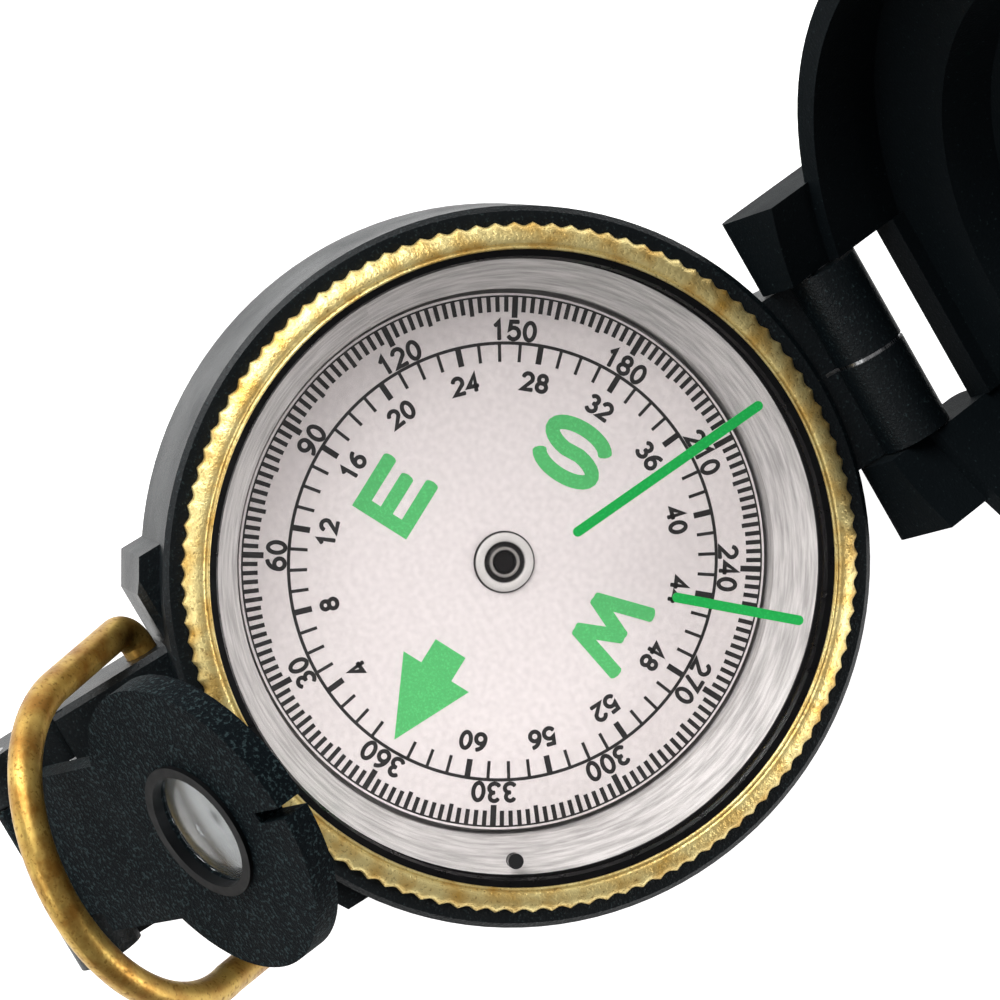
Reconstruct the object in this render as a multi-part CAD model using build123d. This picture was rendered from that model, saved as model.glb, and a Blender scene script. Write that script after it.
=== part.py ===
from build123d import *
import math
import os

# Round folding sighting compass, millimetres. +Z is up, +Y points to the cover's hinge, and the
# origin is at the middle of the flat underside, straight below the needle pivot.
# It stands as in use: cover leaning back, eyepiece raised, thumb loop half raised.

# ---- driving dimensions -----------------------------------------------------------------
CASE_RADIUS = 27.6            # outside of the round case
CASE_TOP = 11.8               # top of the case rim
CASE_FLOOR_LOW = 1.2          # underside of the case floor, above the base plate
CASE_FLOOR_TOP = 2.3
CASE_BORE = 25.7              # bore that guides the turning bezel
CAPSULE_BORE = 24.6           # bore below the bezel, around the capsule
BEZEL_SEAT = 9.5              # step that carries the bezel washer

PLATE_RADIUS = 23.0           # base plate under the case
SCREW_COUNT = 3
SCREW_CIRCLE = 20.0

BOWL_FLOOR = 2.8              # inside floor of the liquid capsule
BOWL_FLOOR_RADIUS = 21.15
BOWL_FLARE = 6.6              # the wall is upright to here, then flares to the mouth
BOWL_MOUTH_RADIUS = 23.55
BOWL_TOP = 10.6
BOWL_WALL = 0.5
BOWL_FLANGE_RADIUS = 24.4
GASKET_THICKNESS = 0.3
GLASS_THICKNESS = 0.7

DIAL_RADIUS = 20.75
DIAL_TOP = 5.05
DIAL_THICKNESS = 0.35

TOOTH_COUNT = 112             # serrations round the bezel
TOOTH_RADIUS = 26.45
TOOTH_ROOT = 25.9
TOOTH_LOW, TOOTH_TOP = 12.0, 12.8
BEZEL_INNER = 24.3
BEZEL_TOP = 13.25
CRYSTAL_LOW, CRYSTAL_TOP = 11.95, 12.5
LINE_HALF = 0.38              # half width of the luminous lines
BEZEL_TURN = -3.2             # the bezel's setting, degrees clockwise from the hinge line

HINGE_Y, HINGE_Z = 32.1, 10.5         # axis of the cover hinge
BARREL_RADIUS = 2.9
BARREL_HALF = 7.6                     # half length of the case's two middle knuckles
KNUCKLE_GAP = 0.3                     # room for the washer between those knuckles
EAR_HALF = 14.2                       # half width over the cover's ears
EAR_REACH, EAR_DROP = 3.3, 4.3         # ear faces stand this far from the axis
COVER_PIN_RADIUS = 1.0
PIN_BLIND = 13.2                      # the cover pin stops here inside one ear
COVER_ANGLE = 115.0                   # the cover's opening at rest; 0 is shut

COVER_Y = 1.0                         # middle of the cover's disc when shut
COVER_RADIUS = 31.2
COVER_RIM = 10.5                      # lowest edge of the skirt when shut
COVER_WALL = 1.6
FLANGE_TOP = 19.4                     # flat ring round the dome
FLANGE_THICKNESS = 1.7
LIP_LOW = 16.4                        # underside of the lip between the ears
DOME_TOP = 23.2
DOME_FOOT_RADIUS = 24.6
DOME_CROWN_RADIUS = 22.6
WINDOW_HALF_WIDTH, WINDOW_HALF_LENGTH = 3.2, 14.0
WIRE_RADIUS = 0.22

BLOCK_HALF = 15.8                     # rear block of the case
BLOCK_REAR = -26.0
BLOCK_TOP = 9.6
TONGUE_HALF = 8.9                     # tongue and lugs that carry the eyepiece
TONGUE_REAR = -36.3
TONGUE_LOW, TONGUE_TOP = 2.6, 9.2
LUG_INNER = 5.2
EYE_Y, EYE_Z = -41.6, 10.0            # axis of the eyepiece hinge
LUG_RADIUS = 2.6
EYE_PIN_RADIUS = 0.9
EYE_ANGLE = 67.0                      # the eyepiece's slope at rest; 16 is folded
PLATE_THICKNESS = 2.2
ARM_NARROW, ARM_HALF = 5.0, 6.6
ARM_SHOULDER = 4.2                    # where the arm widens, from the hinge axis
HEAD_CENTRE = 24.6                    # lens centre, from the hinge axis
HEAD_RADIUS = 11.7
LENS_RADIUS = 4.7
NOTCH_WIDTH, NOTCH_LENGTH = 0.9, 3.4

LOOP_Y, LOOP_Z = -27.7, 6.0           # axis the thumb loop swings on
LOOP_WIRE = 1.28                      # radius of the loop's wire
LOOP_LEFT, LOOP_RIGHT = -11.3, 15.3   # the legs; the loop has slid to one side in its hole
LOOP_STRAIGHT = 12.1                  # length of the legs
LOOP_BIGHT_X, LOOP_BIGHT_RADIUS = 1.3, 12.9
LOOP_PIN_END = 5.5
LOOP_ANGLE = 50.0                     # the loop's rise at rest; 0 is straight back

RUNNING = 0.05                        # radial clearance of pins in turning parts

MIN_Z = (Align.CENTER, Align.CENTER, Align.MIN)


# ---- small tools ------------------------------------------------------------------------
def disc(radius, low, top, x=0.0, y=0.0):
    return Pos(x, y, low) * Cylinder(radius, top - low, align=MIN_Z)


def ring(inner, outer, low, top):
    return disc(outer, low, top) - disc(inner, low - 1, top + 1)


def turned(points):
    """A solid of revolution about Z from (radius, height) points."""
    return revolve(Plane.XZ * make_face(Polyline(points, close=True)), Axis.Z)


def block(x_low, x_high, y_low, y_high, z_low, z_high):
    size = Box(x_high - x_low, y_high - y_low, z_high - z_low)
    return Pos((x_low + x_high) / 2, (y_low + y_high) / 2, (z_low + z_high) / 2) * size


def rod_x(radius, x_low, x_high, y, z):
    """A cylinder along X."""
    rod = Rot(0, 90, 0) * Cylinder(radius, x_high - x_low)
    return Pos((x_low + x_high) / 2, y, z) * rod


def swing(shape, y, z, degrees):
    """Turn a shape about the X-parallel axis through (y, z)."""
    return Pos(0, y, z) * Rot(degrees, 0, 0) * Pos(0, -y, -z) * shape


def opened(shape):
    return swing(shape, HINGE_Y, HINGE_Z, -COVER_ANGLE)


def raised(shape):
    return swing(shape, EYE_Y, EYE_Z, EYE_ANGLE)


def screw_places(radius):
    return [(radius * math.cos(math.radians(a)), radius * math.sin(math.radians(a)))
            for a in range(90, 450, 360 // SCREW_COUNT)]


# ---- case -------------------------------------------------------------------------------
def rear_outline():
    side = math.sqrt(CASE_RADIUS ** 2 - BLOCK_HALF ** 2)
    return [(-BLOCK_HALF, -side + 2), (-BLOCK_HALF, BLOCK_REAR + 1.5), (-BLOCK_HALF + 2.5, BLOCK_REAR),
            (BLOCK_HALF - 2.5, BLOCK_REAR), (BLOCK_HALF, BLOCK_REAR + 1.5), (BLOCK_HALF, -side + 2)]


def case_body():
    inner_edge = CASE_BORE + 0.3
    groove_low, groove_top = 10.3, 10.9
    shell = turned([
        (0, CASE_FLOOR_LOW), (PLATE_RADIUS + RUNNING, CASE_FLOOR_LOW), (PLATE_RADIUS + RUNNING, 0),
        (CASE_RADIUS - 0.8, 0), (CASE_RADIUS, 0.8), (CASE_RADIUS, CASE_TOP - 0.4),
        (CASE_RADIUS - 0.4, CASE_TOP), (inner_edge, CASE_TOP), (CASE_BORE, CASE_TOP - 0.3),
        (CASE_BORE, groove_top), (CASE_BORE + 0.35, groove_top), (CASE_BORE + 0.35, groove_low),
        (CASE_BORE, groove_low), (CASE_BORE, BEZEL_SEAT), (CAPSULE_BORE, BEZEL_SEAT),
        (CAPSULE_BORE, CASE_FLOOR_TOP), (0, CASE_FLOOR_TOP)])

    inside = disc(CASE_RADIUS - 0.5, 0, CASE_TOP + 1)
    rear = extrude(make_face(Polyline(rear_outline(), close=True)), BLOCK_TOP - 0.8)
    rear = Pos(0, 0, 0.8) * rear
    rear = chamfer(rear.edges().group_by(Axis.Z)[-1].group_by(Axis.Y)[0], 0.6)
    tongue = block(-TONGUE_HALF, TONGUE_HALF, TONGUE_REAR, BLOCK_REAR + 2, TONGUE_LOW, TONGUE_TOP)
    tongue = chamfer(tongue.edges().filter_by(Axis.Y).group_by(Axis.Z)[-1], 0.5)
    added = rear + tongue
    for side in (-1, 1):
        low, high = sorted((side * LUG_INNER, side * TONGUE_HALF))
        lug = block(low, high, EYE_Y, TONGUE_REAR + 1, 5.6, TONGUE_TOP - 0.4)
        added += lug + rod_x(LUG_RADIUS, low, high, EYE_Y, EYE_Z - 0.6)

    barrel = rod_x(BARREL_RADIUS, -BARREL_HALF, BARREL_HALF, HINGE_Y, HINGE_Z)
    web = block(-BARREL_HALF, BARREL_HALF, CASE_RADIUS - 3, HINGE_Y, HINGE_Z - BARREL_RADIUS, HINGE_Z)
    brace = extrude(Plane.YZ * make_face(Polyline(
        [(CASE_RADIUS - 3, 2.5), (CASE_RADIUS - 3, HINGE_Z), (HINGE_Y - 0.6, HINGE_Z - BARREL_RADIUS)],
        close=True)), BARREL_HALF, both=True)
    added += barrel + web + brace
    added -= block(-KNUCKLE_GAP / 2, KNUCKLE_GAP / 2, CASE_RADIUS + 0.6, 40, 0, 20)

    body = shell + (added - inside)
    body -= rod_x(COVER_PIN_RADIUS, -20, 20, HINGE_Y, HINGE_Z)
    body -= rod_x(EYE_PIN_RADIUS, -20, 20, EYE_Y, EYE_Z)
    body -= rod_x(LOOP_WIRE + RUNNING, -20, 20, LOOP_Y, LOOP_Z)
    for x, y in screw_places(SCREW_CIRCLE):
        body -= disc(0.8, CASE_FLOOR_LOW - 1, CASE_FLOOR_TOP - 0.4, x, y)
    return body


def base_plate():
    plate = disc(PLATE_RADIUS, 0, CASE_FLOOR_LOW)
    for x, y in screw_places(SCREW_CIRCLE):
        plate -= Pos(x, y, 0) * Cone(1.6, 0.8, 0.8, align=MIN_Z)
        plate -= disc(0.8, 0.5, 2, x, y)
    return plate


def base_screws():
    screws = []
    for x, y in screw_places(SCREW_CIRCLE):
        screw = Pos(x, y, 0) * Cone(1.6, 0.8, 0.8, align=MIN_Z)
        screw += disc(0.8, 0.7, CASE_FLOOR_TOP - 0.4, x, y)
        screw -= Pos(x, y, 0) * Box(3.4, 0.4, 0.6)
        screw -= Pos(x, y, 0) * Box(0.4, 3.4, 0.6)
        screws.append(screw)
    return Compound(children=screws)


# ---- liquid capsule ---------------------------------------------------------------------
def capsule_bowl():
    flange = 0.4
    return turned([
        (0, CASE_FLOOR_TOP), (BOWL_FLOOR_RADIUS + BOWL_WALL, CASE_FLOOR_TOP),
        (BOWL_FLOOR_RADIUS + BOWL_WALL, BOWL_FLARE - 0.2),
        (BOWL_MOUTH_RADIUS + BOWL_WALL, BOWL_TOP - flange), (BOWL_FLANGE_RADIUS, BOWL_TOP - flange),
        (BOWL_FLANGE_RADIUS, BOWL_TOP), (BOWL_MOUTH_RADIUS, BOWL_TOP),
        (BOWL_FLOOR_RADIUS, BOWL_FLARE), (BOWL_FLOOR_RADIUS, BOWL_FLOOR), (0, BOWL_FLOOR)])


def capsule_gasket():
    return ring(BOWL_MOUTH_RADIUS, BOWL_FLANGE_RADIUS, BOWL_TOP, BOWL_TOP + GASKET_THICKNESS)


GLASS_LOW = BOWL_TOP + GASKET_THICKNESS
GLASS_TOP = GLASS_LOW + GLASS_THICKNESS
PLUG_X, PLUG_Y = 19.1, -11.8


def capsule_glass():
    glass = disc(BOWL_FLANGE_RADIUS, GLASS_LOW, GLASS_TOP)
    return glass - disc(0.6, GLASS_LOW - 1, GLASS_TOP + 1, PLUG_X, PLUG_Y)


def filler_plug():
    return disc(0.6, GLASS_LOW - 0.3, GLASS_TOP, PLUG_X, PLUG_Y)


def pivot_post():
    return turned([(0, BOWL_FLOOR), (1.8, BOWL_FLOOR), (1.8, BOWL_FLOOR + 0.2), (0.35, BOWL_FLOOR + 0.4),
                   (0.35, DIAL_TOP - 1.25), (0, DIAL_TOP - 0.7)])


# ---- dial -------------------------------------------------------------------------------
DIAL_LOW = DIAL_TOP - DIAL_THICKNESS
HUB_RADIUS = 1.2


def dial_card():
    return ring(HUB_RADIUS, DIAL_RADIUS, DIAL_LOW, DIAL_TOP)


def dial_magnet():
    bar = block(-2.0, 2.0, -14, 14, DIAL_LOW - 1.4, DIAL_LOW)
    return bar - disc(HUB_RADIUS, 0, 20)


def dial_hub():
    return turned([(0.75, DIAL_TOP - 1.6), (HUB_RADIUS, DIAL_TOP - 1.6), (HUB_RADIUS, DIAL_TOP),
                   (2.3, DIAL_TOP),
                   (2.3, DIAL_TOP + 0.3), (2.1, DIAL_TOP + 0.45), (1.7, DIAL_TOP + 0.45),
                   (1.5, DIAL_TOP + 0.25), (1.0, DIAL_TOP + 0.25), (0.75, DIAL_TOP + 0.1)])


def pivot_jewel():
    return turned([(0, DIAL_TOP - 0.63), (0.45, DIAL_TOP - 1.2), (0.75, DIAL_TOP - 1.2),
                   (0.75, DIAL_TOP - 0.05), (0, DIAL_TOP + 0.15)])


# ---- bezel ------------------------------------------------------------------------------
def bezel_ring():
    skirt_radius = CASE_BORE - 0.08
    body = turned([
        (24.85, 9.75), (skirt_radius, 9.75), (skirt_radius, 10.3), (25.3, 10.3), (25.3, 10.9),
        (skirt_radius, 10.9), (skirt_radius, CASE_TOP - 0.35), (TOOTH_ROOT, TOOTH_LOW),
        (TOOTH_ROOT, TOOTH_TOP), (25.4, TOOTH_TOP + 0.2), (24.6, BEZEL_TOP),
        (BEZEL_INNER, BEZEL_TOP - 0.1), (BEZEL_INNER, CRYSTAL_LOW), (23.8, CRYSTAL_LOW),
        (23.8, GLASS_TOP + 0.12), (24.85, GLASS_TOP + 0.12)])
    pitch = 2 * math.pi / TOOTH_COUNT
    profile = ((-0.32, TOOTH_ROOT), (-0.1, TOOTH_RADIUS), (0.1, TOOTH_RADIUS), (0.32, TOOTH_ROOT))
    outline = []
    for tooth in range(TOOTH_COUNT):
        for share, radius in profile:
            angle = (tooth + share) * pitch
            outline.append((radius * math.cos(angle), radius * math.sin(angle)))
    teeth = extrude(make_face(Polyline(outline, close=True)), TOOTH_TOP - TOOTH_LOW)
    teeth = Pos(0, 0, TOOTH_LOW) * teeth - disc(TOOTH_ROOT - 0.3, 0, 20)
    return body + teeth


def bezel_crystal():
    return disc(BEZEL_INNER - 0.03, CRYSTAL_LOW, CRYSTAL_TOP)


def crystal_retainer():
    return turned([(23.6, CRYSTAL_TOP), (BEZEL_INNER, CRYSTAL_TOP), (BEZEL_INNER, CRYSTAL_TOP + 0.5),
                   (23.8, CRYSTAL_TOP + 0.4)])


def luminous_line(start, end, bearing):
    """A green strip with round ends on the crystal, running outward at a bearing from the hinge line."""
    low, top = CRYSTAL_TOP, CRYSTAL_TOP + 0.1
    strip = block(-LINE_HALF, LINE_HALF, start, end, low, top)
    strip += disc(LINE_HALF, low, top, 0, start) + disc(LINE_HALF, low, top, 0, end)
    return Rot(0, 0, -(bearing + BEZEL_TURN)) * strip


def bezel_washer():
    return ring(CAPSULE_BORE + 0.2, CASE_BORE - 0.05, BEZEL_SEAT, BEZEL_SEAT + 0.2)


def bezel_snap_ring():
    wire = Torus(25.7, 0.26)
    gap = Rot(0, 0, 90) * block(24, 28, -0.8, 0.8, 9, 12)
    return Pos(0, 0, 10.6) * wire - gap


# ---- cover ------------------------------------------------------------------------------
def cover_shell():
    flange_low = FLANGE_TOP - FLANGE_THICKNESS
    inner = COVER_RADIUS - COVER_WALL
    shell = turned([
        (inner, COVER_RIM), (COVER_RADIUS, COVER_RIM), (COVER_RADIUS, FLANGE_TOP - 0.8),
        (COVER_RADIUS - 0.8, FLANGE_TOP), (DOME_FOOT_RADIUS, FLANGE_TOP),
        (DOME_CROWN_RADIUS + 1, DOME_TOP - 1), (DOME_CROWN_RADIUS - 0.6, DOME_TOP), (0, DOME_TOP),
        (0, DOME_TOP - COVER_WALL), (DOME_CROWN_RADIUS - 1.2, DOME_TOP - COVER_WALL),
        (DOME_FOOT_RADIUS - COVER_WALL, flange_low), (inner, flange_low)])
    shell = Pos(0, COVER_Y, 0) * shell

    ear_low, ear_top = HINGE_Z - EAR_DROP, FLANGE_TOP - 0.9
    ears = block(-EAR_HALF, EAR_HALF, HINGE_Y - 9, HINGE_Y + EAR_REACH, ear_low, ear_top)
    ears = fillet(ears.edges().filter_by(Axis.X).group_by(Axis.Y)[-1], 1.0)
    ears -= disc(COVER_RADIUS - 0.4, 0, flange_low, 0, COVER_Y)
    ears -= disc(COVER_RADIUS - 2.2, 0, 40, 0, COVER_Y)
    shell += ears

    room = BARREL_HALF + 0.15
    edge = COVER_Y + math.sqrt(COVER_RADIUS ** 2 - 7 ** 2)
    shell -= block(-room, room, 20, HINGE_Y + 6, 0, flange_low)
    shell -= block(-room, room, edge, HINGE_Y + 6, 0, 40)
    shell += block(-room, room, edge - 2.4, edge, LIP_LOW, flange_low + 0.2)
    shell -= block(-7.5, 7.5, -40, -20, 0, 15.6)
    shell -= rod_x(COVER_PIN_RADIUS + RUNNING, -PIN_BLIND - RUNNING, 20, HINGE_Y, HINGE_Z)
    window = block(-WINDOW_HALF_WIDTH, WINDOW_HALF_WIDTH, -WINDOW_HALF_LENGTH, WINDOW_HALF_LENGTH, 15, 30)
    shell -= window
    shell -= sight_wire_shut() + Compound(children=wire_plugs_shut())
    return shell


WIRE_Z = DOME_TOP - COVER_WALL / 2


def sight_wire_shut():
    reach = WINDOW_HALF_LENGTH + 1.1
    return Pos(0, 0, WIRE_Z) * (Rot(90, 0, 0) * Cylinder(WIRE_RADIUS, 2 * reach))


def wire_plugs_shut():
    reach = WINDOW_HALF_LENGTH + 1.8
    return [disc(0.7, DOME_TOP - COVER_WALL - 0.25, DOME_TOP - 0.2, 0, side * reach) for side in (-1, 1)]


# ---- eyepiece ---------------------------------------------------------------------------
def flat_bracket():
    """The bracket lying level, pointing to +Y from its hinge axis."""
    low, high = EYE_Z - PLATE_THICKNESS / 2, EYE_Z + PLATE_THICKNESS / 2
    head_y = EYE_Y + HEAD_CENTRE
    barrel = rod_x(2.1, -ARM_NARROW, ARM_NARROW, EYE_Y, EYE_Z)
    arm = block(-ARM_NARROW, ARM_NARROW, EYE_Y, head_y, low, high)
    arm += block(-ARM_HALF, ARM_HALF, EYE_Y + ARM_SHOULDER, head_y, low, high)
    head = disc(HEAD_RADIUS, low, high, 0, head_y)
    bracket = barrel + arm + head
    bracket -= disc(LENS_RADIUS, low - 1, high + 1, 0, head_y)
    bracket -= disc(LENS_RADIUS + 0.7, high - 0.5, high + 1, 0, head_y)
    tip = head_y + HEAD_RADIUS
    bracket -= block(-NOTCH_WIDTH / 2, NOTCH_WIDTH / 2, tip - NOTCH_LENGTH, tip + 1, low - 1, high + 1)
    bracket -= rod_x(EYE_PIN_RADIUS + RUNNING, -20, 20, EYE_Y, EYE_Z)
    return bracket


def lens():
    head_y = EYE_Y + HEAD_CENTRE
    middle = disc(LENS_RADIUS, EYE_Z - 0.6, EYE_Z + 0.3, 0, head_y)
    radius = 14.0
    drop = math.sqrt(radius ** 2 - LENS_RADIUS ** 2)
    ball = Pos(0, head_y, EYE_Z + 0.3 - drop) * Sphere(radius)
    top = disc(LENS_RADIUS, EYE_Z + 0.3, EYE_Z + 2, 0, head_y) & ball
    return middle + top


def lens_retainer():
    head_y = EYE_Y + HEAD_CENTRE
    high = EYE_Z + PLATE_THICKNESS / 2
    outer = disc(LENS_RADIUS + 0.7, high - 0.5, high + 0.35, 0, head_y)
    return outer - disc(LENS_RADIUS - 0.1, high - 2, high + 2, 0, head_y)


# ---- thumb loop -------------------------------------------------------------------------
def thumb_loop():
    """Bent wire, drawn level behind the case and then swung up."""
    corner = 1.9
    bend_y = LOOP_Y - LOOP_STRAIGHT
    bow_left = LOOP_BIGHT_X - LOOP_BIGHT_RADIUS
    bow_right = LOOP_BIGHT_X + LOOP_BIGHT_RADIUS
    right = FilletPolyline((LOOP_PIN_END, LOOP_Y), (LOOP_RIGHT, LOOP_Y), (bow_right, bend_y), radius=corner)
    bight = ThreePointArc((bow_right, bend_y), (LOOP_BIGHT_X, bend_y - LOOP_BIGHT_RADIUS), (bow_left, bend_y))
    left = FilletPolyline((bow_left, bend_y), (LOOP_LEFT, LOOP_Y), (-LOOP_PIN_END, LOOP_Y), radius=corner)
    path = Wire(list(right.edges()) + list(bight.edges()) + list(left.edges()))
    start = Plane(origin=(LOOP_PIN_END, LOOP_Y, 0), x_dir=(0, 1, 0), z_dir=(1, 0, 0))
    wire = sweep(start * Circle(LOOP_WIRE), path)
    return swing(Pos(0, 0, LOOP_Z) * wire, LOOP_Y, LOOP_Z, -LOOP_ANGLE)


# ---- every piece ------------------------------------------------------------------------
def pieces():
    washer = rod_x(BARREL_RADIUS - 0.2, -KNUCKLE_GAP / 2, KNUCKLE_GAP / 2, HINGE_Y, HINGE_Z)
    washer -= rod_x(COVER_PIN_RADIUS, -1, 1, HINGE_Y, HINGE_Z)
    turn = Rot(0, 0, -BEZEL_TURN)
    return {
        "case_body": case_body(),
        "base_plate": base_plate(),
        "base_screws": base_screws(),
        "capsule_bowl": capsule_bowl(),
        "capsule_gasket": capsule_gasket(),
        "capsule_glass": capsule_glass(),
        "filler_plug": filler_plug(),
        "pivot_post": pivot_post(),
        "bezel_washer": bezel_washer(),
        "bezel_snap_ring": bezel_snap_ring(),
        "cover_hinge_pin": rod_x(COVER_PIN_RADIUS, -PIN_BLIND, EAR_HALF - 0.2, HINGE_Y, HINGE_Z),
        "hinge_washer": washer,
        "eyepiece_pin": rod_x(EYE_PIN_RADIUS, -TONGUE_HALF, TONGUE_HALF, EYE_Y, EYE_Z),
        "dial_card": dial_card(),
        "dial_magnet": dial_magnet(),
        "dial_hub": dial_hub(),
        "pivot_jewel": pivot_jewel(),
        "bezel_ring": turn * bezel_ring(),
        "bezel_crystal": bezel_crystal(),
        "crystal_retainer": crystal_retainer(),
        "luminous_line_long": luminous_line(5.0, 22.0, 0),
        "luminous_line_short": luminous_line(12.2, 22.0, 45),
        "cover_shell": opened(cover_shell()),
        "sight_wire": opened(sight_wire_shut()),
        "sight_wire_plugs": opened(Compound(children=wire_plugs_shut())),
        "eyepiece_bracket": raised(flat_bracket()),
        "eyepiece_lens": raised(lens()),
        "lens_retainer": raised(lens_retainer()),
        "thumb_loop": thumb_loop(),
    }


os.makedirs("parts", exist_ok=True)
for name, shape in pieces().items():
    export_step(shape, "parts/" + name + ".step")
    print(name, round(shape.volume, 2))
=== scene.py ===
import math

import bmesh
import bpy
from bpy.props import FloatProperty, FloatVectorProperty, IntProperty, PointerProperty
from mathutils import Matrix, Vector, noise


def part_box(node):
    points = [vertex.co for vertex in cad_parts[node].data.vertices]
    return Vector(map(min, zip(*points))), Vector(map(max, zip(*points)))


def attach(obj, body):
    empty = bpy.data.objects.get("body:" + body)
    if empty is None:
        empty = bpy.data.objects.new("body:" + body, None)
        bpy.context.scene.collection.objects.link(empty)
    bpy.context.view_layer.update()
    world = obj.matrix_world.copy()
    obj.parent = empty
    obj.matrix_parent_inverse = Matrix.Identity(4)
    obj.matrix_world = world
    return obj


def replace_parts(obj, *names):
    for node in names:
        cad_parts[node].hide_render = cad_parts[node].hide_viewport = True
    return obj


bl_info = {
    "name": "Sighting Compass Finish",
    "version": (1, 0, 0),
    "blender": (4, 5, 0),
    "location": "View3D > Sidebar > Compass",
    "description": "Gives a packed sighting compass its printed dial, knurled bezel, finishes and studio",
    "category": "Object",
}

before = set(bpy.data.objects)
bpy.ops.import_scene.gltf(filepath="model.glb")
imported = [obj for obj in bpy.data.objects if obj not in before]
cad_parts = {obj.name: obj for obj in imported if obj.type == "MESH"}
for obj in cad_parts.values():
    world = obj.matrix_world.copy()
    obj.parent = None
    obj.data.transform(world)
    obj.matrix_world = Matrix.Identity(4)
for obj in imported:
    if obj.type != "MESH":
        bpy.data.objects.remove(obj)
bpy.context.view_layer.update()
MM = 0.001
PRINT_LIFT = 0.012 * MM     # how far print stands off the dial, so that it is never lost in it
PRINT_LAYER = 0.002 * MM    # step between strokes that cross, so that neither flickers through


# ---- colours and nodes ------------------------------------------------------------------
def linear(colour):
    """An sRGB hex colour as linear red, green and blue."""
    parts = [(colour >> shift & 255) / 255 for shift in (16, 8, 0)]
    return [p / 12.92 if p <= 0.04045 else ((p + 0.055) / 1.055) ** 2.4 for p in parts]


def rgba(colour):
    """A linear colour with full opacity."""
    return list(colour) + [1.0]


def add(tree, kind, inputs=None, **settings):
    """Adds a node with its settings; an input given a socket is linked, any other is set."""
    node = tree.nodes.new(kind)
    for name, value in settings.items():
        setattr(node, name, value)
    for name, value in (inputs or {}).items():
        if isinstance(value, bpy.types.NodeSocket):
            tree.links.new(value, node.inputs[name])
        else:
            node.inputs[name].default_value = value
    return node


def new_finish(name, **constants):
    """A material holding one Principled shader, with its constants set on the shader's own sockets."""
    material = bpy.data.materials.new(name)
    material.use_nodes = True
    shader = material.node_tree.nodes["Principled BSDF"]
    for key, value in constants.items():
        shader.inputs[key.replace("_", " ")].default_value = value
    return material, material.node_tree, shader


def per(size_mm):
    """Texture scale for a feature of this size in millimetres, in object coordinates of metres."""
    return 1 / (size_mm * MM)


def object_place(tree):
    return add(tree, "ShaderNodeTexCoord").outputs["Object"]


def lathe_place(tree, ring_mm):
    """Coordinates that follow a turned surface: fine across its rings, drawn out round them."""
    round_scale = 6.0
    place = add(tree, "ShaderNodeSeparateXYZ", {0: object_place(tree)})
    x, y, z = place.outputs
    angle = add(tree, "ShaderNodeMath", {0: y, 1: x}, operation="ARCTAN2").outputs[0]
    flat = add(tree, "ShaderNodeCombineXYZ", {"X": x, "Y": y}).outputs[0]
    radius = add(tree, "ShaderNodeVectorMath", {0: flat}, operation="LENGTH").outputs["Value"]
    across = add(tree, "ShaderNodeMath", {0: radius, 1: per(ring_mm)}, operation="MULTIPLY").outputs[0]
    height = add(tree, "ShaderNodeMath", {0: z, 1: per(ring_mm)}, operation="MULTIPLY").outputs[0]
    round_it = add(tree, "ShaderNodeMath", {0: angle, 1: round_scale}, operation="MULTIPLY").outputs[0]
    return add(tree, "ShaderNodeCombineXYZ", {"X": across, "Y": round_it, "Z": height}).outputs[0]


def shade(tree, factor, dark, light, low=0.35, high=0.65):
    """A colour that runs from dark to light as the factor goes from low to high."""
    ramp = add(tree, "ShaderNodeValToRGB", {"Fac": factor})
    ramp.color_ramp.elements[0].position = low
    ramp.color_ramp.elements[0].color = rgba(dark)
    ramp.color_ramp.elements[1].position = high
    ramp.color_ramp.elements[1].color = rgba(light)
    return ramp.outputs["Color"]


def spread(tree, factor, low, high):
    """A number that runs from low to high with the factor."""
    return add(tree, "ShaderNodeMapRange", {"Value": factor, "From Min": 0.3, "From Max": 0.7,
                                            "To Min": low, "To Max": high}).outputs["Result"]


# ---- finishes ---------------------------------------------------------------------------
def crinkle_enamel(name, colours, grain_mm, depth_mm, rough, level, glint_from):
    """Stoved crinkle enamel on die-cast metal: black with a green cast, a fine pebbled skin that
    breaks each highlight into specks, and a paler colour on the high spots that is a painted
    highlight for the specks of light the pebbles catch. The pebbles are drawn as coarse as they
    need to be to show; the last argument is how high a pebble must stand to be painted paler."""
    material, tree, shader = new_finish(name, IOR=1.5, Specular_IOR_Level=level)
    place = object_place(tree)
    pebbles = add(tree, "ShaderNodeTexNoise", {"Vector": place, "Scale": per(grain_mm), "Detail": 2.0,
                                               "Roughness": 0.6}).outputs["Fac"]
    fine = add(tree, "ShaderNodeTexNoise", {"Vector": place, "Scale": per(grain_mm * 0.45),
                                            "Detail": 1.0}).outputs["Fac"]
    broad = add(tree, "ShaderNodeTexNoise", {"Vector": place, "Scale": per(7.0),
                                             "Detail": 3.0}).outputs["Fac"]
    height = add(tree, "ShaderNodeMath", {0: fine, 1: 0.35, 2: pebbles},
                 operation="MULTIPLY_ADD").outputs[0]
    bump = add(tree, "ShaderNodeBump", {"Height": height, "Distance": depth_mm * MM, "Strength": 1.0})
    # The higher pebbles are painted paler: painted highlight specks for the light the crinkle catches, not
    # wear.
    colour = shade(tree, pebbles, colours.enamel, colours.enamel_worn, glint_from, glint_from + 0.12)
    tree.links.new(colour, shader.inputs["Base Color"])
    tree.links.new(spread(tree, broad, rough, rough + 0.14), shader.inputs["Roughness"])
    tree.links.new(bump.outputs["Normal"], shader.inputs["Normal"])
    return material


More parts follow.
